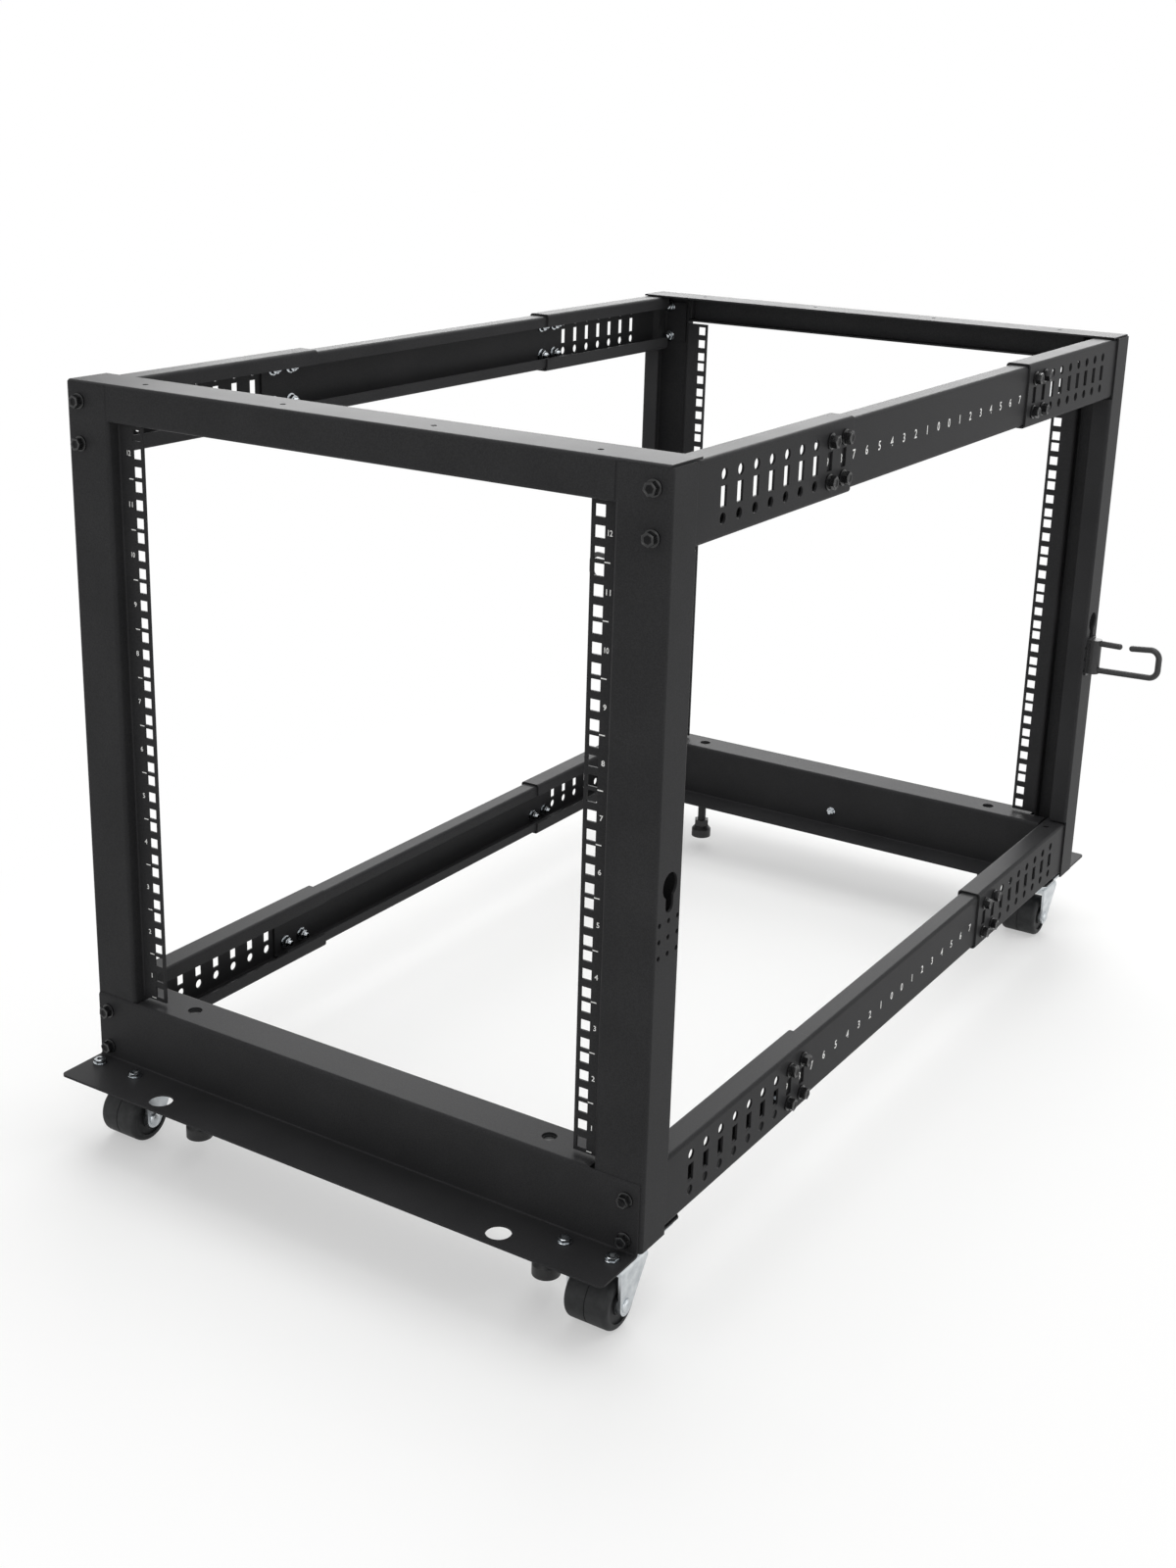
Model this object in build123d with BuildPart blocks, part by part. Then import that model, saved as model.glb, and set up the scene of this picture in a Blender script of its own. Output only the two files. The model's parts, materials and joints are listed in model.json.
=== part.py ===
"""Four-post open-frame rack: folded sheet posts with square-hole rails, hat-section base beams,
depth-adjustable side rails, swivel casters, levelling feet and two cable rings.

Millimetres. The front faces -Y, +X is the right side seen from the front, the floor is Z = 0.
"""

import os

from build123d import *

# Rack standard
UNIT = 44.45  # height of one rack unit
UNIT_COUNT = 12
UNIT_STEP = 15.875  # from a unit's middle hole to its upper and lower holes
SQUARE = 9.5  # side of a cage-nut hole
HOLE_EDGE = 7.55  # column of square holes from the rail's edge

# Overall sizes
RACK_WIDTH = 600.0
RAIL_INSET = 75.0  # rail's edge inside each side
RAIL_OPENING = RACK_WIDTH - 2 * RAIL_INSET  # 450 by the standard
RAIL_PITCH = RAIL_OPENING + 2 * HOLE_EDGE  # 465.1 by the standard
RACK_DEPTH = 1004.0  # over the faces of the front and rear posts
CASTER_HEIGHT = 74.0  # floor to the underside of the base beams

# Folded sheet
SHEET = 2.0
INNER_BEND = 1.5
MID_BEND = INNER_BEND + SHEET / 2
OUTER_BEND = INNER_BEND + SHEET

# Posts
POST_FACE = 47.5  # width of the front face
POST_SIDE = 40.0  # depth of the side wall
POST_LIP = 20.0  # side wall's rear edge folded inward
LIP_GAP = 2.0  # lip's ends to the sleeves
RAIL_SETBACK = 13.0  # rail behind the post's face
RAIL_GAP = 2.0  # rail ends to the beams
POST_LIFT = 1.0  # post's foot above the base flange
KEYHOLE_HEAD = 21.5
KEYHOLE_SLOT = 11.5
KEYHOLE_DROP = 22.0
KEYHOLE_Z = 389.3
TIE_HOLE = 4.5  # three by three holes for cable ties
TIE_PITCH = 13.7
TIE_COUNT = 3
TIE_BELOW = 42.5  # middle of the tie holes below the keyhole
SIDE_SETBACK = 21.0  # side holes behind the post's face

# Top beams
TOP_WEB = 32.6
TOP_FLANGE = 46.0
TOP_LIP = 12.0
TOP_INSET = 2.0  # flange ends inside the rack's width
SEAM = 0.2  # between a beam's web and the post's face
TOP_TAB = 11.0  # web's ends folded back along the post
TOP_HOLE = 5.0
TOP_HOLE_PITCH = 151.2
TOP_HOLE_COUNT = 4

# Base beams
HAT_HEIGHT = 66.0
HAT_DEPTH = 44.0
OUTER_FLANGE = 52.0
INNER_FLANGE = 38.0
FLANGE_CORNER = 5.0
INNER_CORNER = 12.0
BASE_INSET = 3.0
INNER_INSET = 5.0  # inner flange's ends
HAT_INSET = 32.0  # hat's ends behind the rails
HAT_CLEARANCE = 3.5  # hat's top wall to the post
GROUND_HOLE = 6.5  # earth bolt in the middle of the inner web
GROUND_DROP = 45.5  # below the top wall
UNIT_CLEARANCE = 4.0  # lowest and highest unit to the beams
ANCHOR_HOLE = 22.0
ANCHOR_INSET = 113.0
ANCHOR_PITCH = RACK_WIDTH - 2 * ANCHOR_INSET
ANCHOR_EDGE = 17.0  # anchor hole to the outer flange's edge
AXIS_SETBACK = 23.0  # feet and swivels behind the base web's face

# Frame bolts, through base web, post and sleeve tab
BOLT_HOLE = 7.0
BOLT_INSET = 15.0
BOLT_PITCH = 36.5
UPPER_BOLT_DROP = 1.2  # bolts below the upper sleeve's middle
LOWER_BOLT_DROP = 7.7  # bolts below the lower sleeve's middle

# Side rails: a sleeve at each end and a centre bar inside both
SLEEVE_HEIGHT = 64.0
SLEEVE_DEPTH = 25.0
SLEEVE_LIP = 14.0
SLEEVE_LENGTH = 271.0
SLEEVE_START = 29.0  # web's end behind the post's face
UPPER_SLEEVE_GAP = 0.5  # below the top flange
LOWER_SLEEVE_LIFT = 5.0  # above the base flange
TAB_HEIGHT = 48.0
TAB_WIDTH = 30.0
TAB_ROOT = 1.5  # tongue's straight run before its step
JOGGLE = 5.0  # tongue's step inward
JOGGLE_RUN = 8.0
NEST = 0.3  # bar to sleeve
OVERLAP = 58.0  # bar inside a sleeve
COLUMN_PITCH = 25.4
COLUMN_COUNT = 9
COLUMN_MARGIN = 17.0  # first column to the sleeve's free end
COLUMN_SPREAD = 33.5
COLUMN_HOLE = 9.0
WINDOW_WIDTH = 9.0
WINDOW_HEIGHT = 16.0
BAR_COLUMNS = 2

# Levelling feet
FOOT_INSET = 103.5
FOOT_PITCH = RACK_WIDTH - 2 * FOOT_INSET
FOOT_DIAMETER = 25.0
FOOT_DISC = 10.0
FOOT_LIFT = 10.0  # foot above the floor
FOOT_HEX = 17.0  # across the flats
FOOT_HEX_HEIGHT = 8.0
FOOT_CONE = 5.0
STUD_DIAMETER = 10.0
STUD_SHORT = 1.0  # stud's end below the hat's top wall
BUSH_DIAMETER = 18.0
BUSH_LENGTH = 24.0
ACCESS_HOLE = 13.0

# Casters
CASTER_INSET = 39.0
CASTER_PITCH = RACK_WIDTH - 2 * CASTER_INSET
PLATE_WIDTH = 65.0
PLATE_LENGTH = 95.0
PLATE = 3.0
PLATE_CORNER = 8.0
PLATE_BOLT_X = 45.0
PLATE_BOLT_Y = 77.0
PLATE_HOLE = 7.0
RACE_DIAMETER = 44.0
RACE_FOOT = 36.0
KINGPIN = 12.0
KINGPIN_HEAD = 18.0
KINGPIN_HEAD_THICK = 1.8
TRAIL = 19.0
WHEEL_RISE = 26.0  # gap, crown, race and plate above the wheel
WHEEL_DIAMETER = CASTER_HEIGHT - WHEEL_RISE
WHEEL_WIDTH = 42.0
WHEEL_SHOULDER = 4.5
WHEEL_GROOVE = 0.8
WHEEL_DISH = 2.0
TREAD = 6.5  # outside the dish
RIM_INSIDE = WHEEL_DIAMETER - 2 * TREAD
HUB_DIAMETER = 20.0
AXLE = 10.0
AXLE_COLLAR = 16.0
FORK_WIDTH = 52.0
FORK_SHEET = 2.5
FORK_BEND = 4.0
FORK_BOSS = 18.0
FORK_AHEAD = 10.0  # leg's front edge ahead of the axle
FORK_TOP = 42.0  # leg's width at the crown
CROWN = 5.0
CROWN_GAP = 7.0  # wheel to crown
RUNNING_FIT = 0.05

# Cable rings on the rear posts
RING_ROD = 7.0
RING_Z = 332.5
RING_HEIGHT = 32.2
RING_REACH = 75.0
RING_RISE = 2.5  # outer end of the lower leg
RING_TIP_RISE = 3.5  # outer end of the upper leg
RING_STUB = 32.0
RING_RETURN = 35.0
RING_BEND = 10.0
RING_WALL_BEND = 6.5  # at the post
RING_TIP = 3.2  # rounding of the rod's ends
BRACKET_WIDTH = 24.0
BRACKET_HEIGHT = 44.0
SADDLE_HEIGHT = 40.0
SADDLE_WALL = 4.0

# Planes and heights that the pieces share
half_width = RACK_WIDTH / 2
front = -RACK_DEPTH / 2
base_face = front - SHEET
axis_y = base_face + AXIS_SETBACK
hat_top = CASTER_HEIGHT + HAT_HEIGHT
unit_base = hat_top + UNIT_CLEARANCE
unit_top = unit_base + UNIT * UNIT_COUNT
top_web_bottom = unit_top + UNIT_CLEARANCE
rack_top = top_web_bottom + TOP_WEB
post_top = rack_top - SHEET
post_bottom = CASTER_HEIGHT + SHEET + POST_LIFT
post_inner = half_width - POST_FACE
rail_edge = RAIL_OPENING / 2
caster_x = CASTER_PITCH / 2
foot_x = FOOT_PITCH / 2
wall_inner = half_width - SHEET
bolt_x = half_width - BOLT_INSET
upper_mid = post_top - UPPER_SLEEVE_GAP - SLEEVE_HEIGHT / 2
lower_mid = CASTER_HEIGHT + SHEET + LOWER_SLEEVE_LIFT + SLEEVE_HEIGHT / 2
upper_bolt_z = upper_mid - UPPER_BOLT_DROP
lower_bolt_z = lower_mid - LOWER_BOLT_DROP


def box_between(low, high, mode=Mode.SUBTRACT):
    """Cut or add the box between two opposite corners."""
    size = [b - a for a, b in zip(low, high)]
    with Locations(low):
        Box(*size, align=(Align.MIN, Align.MIN, Align.MIN), mode=mode)


# Post: lip, side wall, face, return and the set-back rail folded from one sheet
with BuildPart() as front_right_post:
    with BuildSketch(Plane.XY.offset(post_bottom)):
        with BuildLine():
            FilletPolyline(
                (half_width - POST_LIP, front + POST_SIDE - SHEET / 2),
                (half_width - SHEET / 2, front + POST_SIDE - SHEET / 2),
                (half_width - SHEET / 2, front + SHEET / 2),
                (post_inner + SHEET / 2, front + SHEET / 2),
                (post_inner + SHEET / 2, front + RAIL_SETBACK + SHEET / 2),
                (rail_edge, front + RAIL_SETBACK + SHEET / 2),
                radius=MID_BEND,
            )
        trace(line_width=SHEET)
    extrude(amount=post_top - post_bottom)
    # The lip stops clear of both sleeves, the rail clear of both beams
    lip_low = lower_mid + SLEEVE_HEIGHT / 2 + LIP_GAP
    lip_high = upper_mid - SLEEVE_HEIGHT / 2 - LIP_GAP
    for low_z, high_z in ((post_bottom, lip_low), (lip_high, post_top)):
        box_between(
            (half_width - POST_LIP, front + POST_SIDE - OUTER_BEND, low_z), (half_width, front + POST_SIDE, high_z)
        )
    for low_z, high_z in ((post_bottom, hat_top + RAIL_GAP), (top_web_bottom - RAIL_GAP, post_top)):
        box_between((rail_edge, front, low_z), (post_inner, front + POST_SIDE, high_z))
    # Square holes, three to the unit
    with BuildSketch(Plane.XZ.offset(-front - RAIL_SETBACK)):
        for unit in range(UNIT_COUNT):
            with Locations((RAIL_PITCH / 2, unit_base + UNIT * (unit + 0.5))):
                with GridLocations(0, UNIT_STEP, 1, 3):
                    Rectangle(SQUARE, SQUARE)
    extrude(amount=-SHEET, mode=Mode.SUBTRACT)
    # Frame bolts
    with BuildSketch(Plane.XZ.offset(-front)):
        with Locations((bolt_x, upper_bolt_z), (bolt_x, lower_bolt_z)):
            with GridLocations(0, BOLT_PITCH, 1, 2):
                Circle(BOLT_HOLE / 2)
    extrude(amount=-SHEET, mode=Mode.SUBTRACT)
    # Keyhole and tie holes in the side wall
    with BuildSketch(Plane.YZ.offset(half_width)):
        with Locations((front + SIDE_SETBACK, KEYHOLE_Z)):
            Circle(KEYHOLE_HEAD / 2)
            Rectangle(KEYHOLE_SLOT, KEYHOLE_DROP - KEYHOLE_SLOT / 2, align=(Align.CENTER, Align.MAX))
        with Locations((front + SIDE_SETBACK, KEYHOLE_Z - KEYHOLE_DROP + KEYHOLE_SLOT / 2)):
            Circle(KEYHOLE_SLOT / 2)
        with Locations((front + SIDE_SETBACK, KEYHOLE_Z - TIE_BELOW)):
            with GridLocations(TIE_PITCH, TIE_PITCH, TIE_COUNT, TIE_COUNT):
                Circle(TIE_HOLE / 2)
    extrude(amount=-OUTER_BEND, mode=Mode.SUBTRACT)

# Top beam: web flush with the posts' faces, flange lying on the posts' tops
with BuildPart() as front_top_beam:
    with BuildSketch(Plane.YZ):
        with BuildLine():
            FilletPolyline(
                (front + TOP_LIP, top_web_bottom + SHEET / 2),
                (front + SHEET / 2, top_web_bottom + SHEET / 2),
                (front + SHEET / 2, rack_top - SHEET / 2),
                (front + TOP_FLANGE, rack_top - SHEET / 2),
                radius=MID_BEND,
            )
        trace(line_width=SHEET)
    extrude(amount=half_width - TOP_INSET, both=True)
    for low_x, high_x in ((-half_width, SEAM - post_inner), (post_inner - SEAM, half_width)):
        box_between((low_x, front, top_web_bottom), (high_x, front + TOP_FLANGE, post_top))
    for low_x in (SEAM - post_inner, post_inner - SEAM - SHEET):
        box_between(
            (low_x, front, top_web_bottom + OUTER_BEND), (low_x + SHEET, front + TOP_TAB, post_top), Mode.ADD
        )
    with BuildSketch(Plane.XY.offset(rack_top)):
        with Locations((0, front + SIDE_SETBACK)):
            with GridLocations(TOP_HOLE_PITCH, 0, TOP_HOLE_COUNT, 1):
                Circle(TOP_HOLE / 2)
    extrude(amount=-SHEET, mode=Mode.SUBTRACT)

# Base beam: a hat section in front of the posts, cut away where they stand in it
hat_inner = base_face + HAT_DEPTH
with BuildPart() as front_base_beam:
    with BuildSketch(Plane.YZ):
        with BuildLine():
            FilletPolyline(
                (base_face - OUTER_FLANGE, CASTER_HEIGHT + SHEET / 2),
                (base_face + SHEET / 2, CASTER_HEIGHT + SHEET / 2),
                (base_face + SHEET / 2, hat_top - SHEET / 2),
                (hat_inner - SHEET / 2, hat_top - SHEET / 2),
                (hat_inner - SHEET / 2, CASTER_HEIGHT + SHEET / 2),
                (hat_inner + INNER_FLANGE, CASTER_HEIGHT + SHEET / 2),
                radius=MID_BEND,
            )
        trace(line_width=SHEET)
    extrude(amount=half_width - BASE_INSET, both=True)
    hat_front = front + RAIL_SETBACK + SHEET + HAT_CLEARANCE
    for low_x, back_y in (
        (post_inner - HAT_CLEARANCE, hat_front),
        (half_width - HAT_INSET, hat_inner + OUTER_BEND),
        (half_width - INNER_INSET, hat_inner + INNER_FLANGE),
    ):
        box_between((low_x, front, CASTER_HEIGHT), (half_width, back_y, hat_top))
        box_between((-half_width, front, CASTER_HEIGHT), (-low_x, back_y, hat_top))
    corners = front_base_beam.edges().filter_by(Axis.Z).group_by(Axis.Y)
    chamfer(corners[-1], length=INNER_CORNER)
    corners = front_base_beam.edges().filter_by(Axis.Z).group_by(Axis.Y)
    fillet(corners[0], radius=FLANGE_CORNER)
    # Threaded bushes of the levelling feet, welded under the top wall
    with BuildSketch(Plane.XY.offset(hat_top - SHEET)):
        with Locations((0, axis_y)):
            with GridLocations(FOOT_PITCH, 0, 2, 1):
                Circle(BUSH_DIAMETER / 2)
                Circle(STUD_DIAMETER / 2 + RUNNING_FIT, mode=Mode.SUBTRACT)
    extrude(amount=-BUSH_LENGTH)
    with BuildSketch(Plane.XY.offset(hat_top)):
        with Locations((0, axis_y)):
            with GridLocations(FOOT_PITCH, 0, 2, 1):
                Circle(ACCESS_HOLE / 2)
    extrude(amount=-SHEET, mode=Mode.SUBTRACT)
    # Anchor holes and caster bolts in the flanges
    with BuildSketch(Plane.XY.offset(CASTER_HEIGHT)):
        with Locations((0, base_face - OUTER_FLANGE + ANCHOR_EDGE)):
            with GridLocations(ANCHOR_PITCH, 0, 2, 1):
                Circle(ANCHOR_HOLE / 2)
        with Locations((-caster_x, axis_y), (caster_x, axis_y)):
            with GridLocations(PLATE_BOLT_X, PLATE_BOLT_Y, 2, 2):
                Circle(PLATE_HOLE / 2)
    extrude(amount=SHEET, mode=Mode.SUBTRACT)
    # Frame bolts
    with BuildSketch(Plane.XZ.offset(-base_face)):
        with Locations((0, lower_bolt_z)):
            with GridLocations(2 * bolt_x, BOLT_PITCH, 2, 2):
                Circle(BOLT_HOLE / 2)
    extrude(amount=-SHEET, mode=Mode.SUBTRACT)
    with BuildSketch(Plane.XZ.offset(-hat_inner)):
        with Locations((0, hat_top - GROUND_DROP)):
            Circle(GROUND_HOLE / 2)
    extrude(amount=SHEET, mode=Mode.SUBTRACT)


def sleeve(mid_z, bolt_z, over_caster=False):
    """Front right sleeve: lipped channel with three-hole columns and a stepped tongue to the post."""
    web_end = front + SLEEVE_START
    free_end = web_end + SLEEVE_LENGTH
    inner = wall_inner - SLEEVE_DEPTH + SHEET / 2
    outer = wall_inner - SHEET / 2
    high = mid_z + SLEEVE_HEIGHT / 2
    low = mid_z - SLEEVE_HEIGHT / 2
    tab_y = front + SHEET * 3 / 2
    with BuildPart() as channel:
        with BuildSketch(Plane.XZ.offset(-free_end)):
            with BuildLine():
                FilletPolyline(
                    (inner, high - SLEEVE_LIP),
                    (inner, high - SHEET / 2),
                    (outer, high - SHEET / 2),
                    (outer, low + SHEET / 2),
                    (inner, low + SHEET / 2),
                    (inner, low + SLEEVE_LIP),
                    radius=MID_BEND,
                )
            trace(line_width=SHEET)
        extrude(amount=SLEEVE_LENGTH)
        with BuildSketch(Plane.XY.offset(bolt_z - TAB_HEIGHT / 2)):
            with BuildLine():
                FilletPolyline(
                    (outer, web_end),
                    (outer, web_end - TAB_ROOT),
                    (outer - JOGGLE, web_end - TAB_ROOT - JOGGLE_RUN),
                    (outer - JOGGLE, tab_y),
                    (outer - JOGGLE - TAB_WIDTH, tab_y),
                    radius=MID_BEND,
                )
            trace(line_width=SHEET)
        extrude(amount=TAB_HEIGHT)
        with BuildSketch(Plane.XZ.offset(-front - SHEET)):
            with Locations((bolt_x, bolt_z)):
                with GridLocations(0, BOLT_PITCH, 1, 2):
                    Circle(BOLT_HOLE / 2)
        extrude(amount=-SHEET, mode=Mode.SUBTRACT)
        column_mid = free_end - COLUMN_MARGIN - COLUMN_PITCH * (COLUMN_COUNT - 1) / 2
        with BuildSketch(Plane.YZ.offset(wall_inner)):
            with Locations((column_mid, mid_z)):
                with GridLocations(COLUMN_PITCH, COLUMN_SPREAD, COLUMN_COUNT, 2):
                    Circle(COLUMN_HOLE / 2)
                with GridLocations(COLUMN_PITCH, 0, COLUMN_COUNT, 1):
                    Rectangle(WINDOW_WIDTH, WINDOW_HEIGHT)
        extrude(amount=-SHEET, mode=Mode.SUBTRACT)
        # Hole through both flanges over the caster's inner bolt
        if over_caster:
            with BuildSketch(Plane.XY.offset(low)):
                with Locations((caster_x + PLATE_BOLT_X / 2, axis_y + PLATE_BOLT_Y / 2)):
                    Circle(PLATE_HOLE / 2)
            extrude(amount=SLEEVE_HEIGHT, mode=Mode.SUBTRACT)
    return channel.part


def centre_bar(mid_z):
    """Right centre bar: the same channel one sheet smaller, bolted at both ends."""
    front_free = front + SLEEVE_START + SLEEVE_LENGTH
    rear_free = -front_free
    inner = wall_inner - SLEEVE_DEPTH + SHEET * 3 / 2 + NEST
    outer = wall_inner - SHEET * 3 / 2
    high = mid_z + SLEEVE_HEIGHT / 2 - SHEET - NEST
    low = mid_z - SLEEVE_HEIGHT / 2 + SHEET + NEST
    lip = SLEEVE_LIP - SHEET
    with BuildPart() as channel:
        with BuildSketch(Plane.XZ.offset(-rear_free - OVERLAP)):
            with BuildLine():
                FilletPolyline(
                    (inner, high - lip),
                    (inner, high - SHEET / 2),
                    (outer, high - SHEET / 2),
                    (outer, low + SHEET / 2),
                    (inner, low + SHEET / 2),
                    (inner, low + lip),
                    radius=MID_BEND,
                )
            trace(line_width=SHEET)
        extrude(amount=rear_free - front_free + 2 * OVERLAP)
        bolt_mid = COLUMN_MARGIN + COLUMN_PITCH * (BAR_COLUMNS - 1) / 2
        with BuildSketch(Plane.YZ.offset(wall_inner - SHEET)):
            with Locations((front_free - bolt_mid, mid_z), (rear_free + bolt_mid, mid_z)):
                with GridLocations(COLUMN_PITCH, COLUMN_SPREAD, BAR_COLUMNS, 2):
                    Circle(COLUMN_HOLE / 2)
        extrude(amount=-SHEET, mode=Mode.SUBTRACT)
    return channel.part


# Levelling foot on the right front axis: round pad, hexagon and threaded stud
foot_top = FOOT_LIFT + FOOT_DISC
hex_top = foot_top + FOOT_CONE + FOOT_HEX_HEIGHT
stud_top = hat_top - SHEET - STUD_SHORT
with BuildPart() as levelling_foot:
    with BuildSketch(Plane.XY.offset(FOOT_LIFT)):
        Circle(FOOT_DIAMETER / 2)
    extrude(amount=FOOT_DISC)
    with BuildSketch(Plane.XY.offset(foot_top)):
        Circle(FOOT_DIAMETER / 2)
    with BuildSketch(Plane.XY.offset(foot_top + FOOT_CONE)):
        Circle(FOOT_HEX / 2)
    loft()
    with BuildSketch(Plane.XY.offset(foot_top + FOOT_CONE)):
        RegularPolygon(FOOT_HEX / 2, 6, major_radius=False)
    extrude(amount=FOOT_HEX_HEIGHT)
    with BuildSketch(Plane.XY.offset(hex_top)):
        Circle(STUD_DIAMETER / 2)
    extrude(amount=stud_top - hex_top)

# Caster: top plate with the pressed race and the riveted king pin
plate_low = CASTER_HEIGHT - PLATE
crown_low = WHEEL_DIAMETER + CROWN_GAP
crown_top = crown_low + CROWN
head_top = crown_low - RUNNING_FIT
with BuildPart() as caster_plate:
    with BuildSketch(Plane.XY.offset(plate_low)):
        RectangleRounded(PLATE_WIDTH, PLATE_LENGTH, PLATE_CORNER)
        with GridLocations(PLATE_BOLT_X, PLATE_BOLT_Y, 2, 2):
            Circle(PLATE_HOLE / 2, mode=Mode.SUBTRACT)
    extrude(amount=PLATE)
    with BuildSketch(Plane.XZ):
        with BuildLine():
            Polyline(
                (0, plate_low),
                (RACE_DIAMETER / 2, plate_low),
                (RACE_FOOT / 2, crown_top + RUNNING_FIT),
                (KINGPIN / 2, crown_top + RUNNING_FIT),
                (KINGPIN / 2, head_top),
                (KINGPIN_HEAD / 2, head_top),
                (KINGPIN_HEAD / 2, head_top - KINGPIN_HEAD_THICK),
                (0, head_top - KINGPIN_HEAD_THICK),
                close=True,
            )
        make_face()
    revolve(axis=Axis.Z)

# Caster fork: crown bored for the king pin, two tapered legs and the axle with its collars
leg_front = -TRAIL - FORK_AHEAD
leg_inner = FORK_WIDTH / 2 - FORK_SHEET
wheel_axis = Axis((0, -TRAIL, WHEEL_DIAMETER / 2), (1, 0, 0))
with BuildPart() as caster_fork:
    with BuildSketch(Plane.XY.offset(crown_low)):
        with Locations((0, leg_front)):
            Rectangle(FORK_WIDTH, FORK_TOP, align=(Align.CENTER, Align.MIN))
        Circle(RACE_DIAMETER / 2)
        Circle(KINGPIN / 2 + RUNNING_FIT, mode=Mode.SUBTRACT)
    extrude(amount=CROWN)
    for leg_x in (-FORK_WIDTH / 2, leg_inner):
        with BuildSketch(Plane.YZ.offset(leg_x)):
            with Locations((-TRAIL, WHEEL_DIAMETER / 2)):
                Circle(FORK_BOSS / 2)
            with Locations((leg_front, crown_low)):
                Rectangle(FORK_TOP, CROWN, align=(Align.MIN, Align.MIN))
            make_hull()
        extrude(amount=FORK_SHEET)
    fillet(caster_fork.edges().filter_by(Axis.Y).group_by(Axis.Z)[-1], radius=FORK_BEND)
    with BuildSketch(Plane.XY.offset(WHEEL_DIAMETER / 2)):
        with Locations((0, -TRAIL)):
            Rectangle(FORK_WIDTH, AXLE / 2, align=(Align.CENTER, Align.MIN))
            for side in (-1, 1):
                collar = leg_inner - WHEEL_WIDTH / 2 - RUNNING_FIT
                with Locations((side * (leg_inner - collar / 2), 0)):
                    Rectangle(collar, AXLE_COLLAR / 2, align=(Align.CENTER, Align.MIN))
    revolve(axis=wheel_axis)

# Caster wheel: tread with a parting groove, dished sides and a bored hub
half_tread = WHEEL_WIDTH / 2
with BuildPart() as caster_wheel:
    with BuildSketch(Plane.XY.offset(WHEEL_DIAMETER / 2)):
        with Locations((0, -TRAIL)):
            Rectangle(WHEEL_WIDTH, WHEEL_DIAMETER / 2, align=(Align.CENTER, Align.MIN))
        fillet(vertices().group_by(Axis.Y)[-1], radius=WHEEL_SHOULDER)
        with Locations((0, WHEEL_DIAMETER / 2 - TRAIL)):
            Rectangle(WHEEL_GROOVE, 2 * WHEEL_GROOVE, mode=Mode.SUBTRACT)
        for side in (-1, 1):
            with Locations((side * half_tread, (RIM_INSIDE + HUB_DIAMETER) / 4 - TRAIL)):
                Rectangle(2 * WHEEL_DISH, (RIM_INSIDE - HUB_DIAMETER) / 2, mode=Mode.SUBTRACT)
        with Locations((0, -TRAIL)):
            Rectangle(WHEEL_WIDTH, AXLE + 2 * RUNNING_FIT, mode=Mode.SUBTRACT)
    revolve(axis=wheel_axis)

# Cable ring: bent rod, open at the top, standing out from the rear right post
ring_y = -front - POST_SIDE / 2
ring_x = half_width + SHEET + RING_ROD / 2
ring_high = RING_Z + RING_HEIGHT
with BuildPart() as right_cable_ring:
    with BuildLine() as rod:
        FilletPolyline(
            (ring_x + RING_STUB, ring_y, ring_high),
            (ring_x, ring_y, ring_high),
            (ring_x, ring_y, RING_Z),
            (ring_x + RING_REACH, ring_y, RING_Z + RING_RISE),
            (ring_x + RING_REACH, ring_y, ring_high + RING_TIP_RISE),
            (ring_x + RING_REACH - RING_RETURN, ring_y, ring_high),
            radius=[RING_WALL_BEND, RING_WALL_BEND, RING_BEND, RING_BEND],
        )
    with BuildSketch(Plane(origin=rod.line @ 0, z_dir=rod.line % 0)):
        Circle(RING_ROD / 2)
    sweep()
    fillet(right_cable_ring.faces().filter_by(GeomType.PLANE).edges(), radius=RING_TIP)

# Bracket of the cable ring: wall plate with a saddle moulded over the rod's inner leg
ring_mid = RING_Z + RING_HEIGHT / 2
saddle_bore = RING_ROD / 2 + RUNNING_FIT
saddle_radius = saddle_bore + SADDLE_WALL
with BuildPart() as right_ring_bracket:
    with BuildSketch(Plane.XY.offset(ring_mid - SADDLE_HEIGHT / 2)):
        with Locations((ring_x, ring_y)):
            Circle(saddle_radius)
        with Locations((half_width, ring_y)):
            Rectangle(ring_x - half_width, 2 * saddle_radius, align=(Align.MIN, Align.CENTER))
            Rectangle(RING_REACH, BRACKET_HEIGHT, align=(Align.MAX, Align.CENTER), mode=Mode.SUBTRACT)
    extrude(amount=SADDLE_HEIGHT)
    with BuildSketch(Plane(origin=rod.line @ 0, z_dir=rod.line % 0)):
        Circle(saddle_bore)
    sweep(path=rod.line, mode=Mode.SUBTRACT)
    with BuildSketch(Plane.YZ.offset(half_width)):
        with Locations((ring_y, ring_mid)):
            RectangleRounded(BRACKET_WIDTH, BRACKET_HEIGHT, SHEET)
    extrude(amount=SHEET)

# Copies: mirrored to the left and to the rear, casters all trailing to the front
pieces = {
    "front_right_post": front_right_post.part,
    "front_top_beam": front_top_beam.part,
    "front_base_beam": front_base_beam.part,
    "right_cable_ring": right_cable_ring.part,
    "right_ring_bracket": right_ring_bracket.part,
    "upper_right_front_sleeve": sleeve(upper_mid, upper_bolt_z),
    "lower_right_front_sleeve": sleeve(lower_mid, lower_bolt_z, over_caster=True),
    "upper_right_centre_bar": centre_bar(upper_mid),
    "lower_right_centre_bar": centre_bar(lower_mid),
}
pieces["rear_right_post"] = mirror(pieces["front_right_post"], about=Plane.XZ)
pieces["rear_top_beam"] = mirror(pieces["front_top_beam"], about=Plane.XZ)
pieces["rear_base_beam"] = mirror(pieces["front_base_beam"], about=Plane.XZ)
pieces["upper_right_rear_sleeve"] = mirror(pieces["upper_right_front_sleeve"], about=Plane.XZ)
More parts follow.
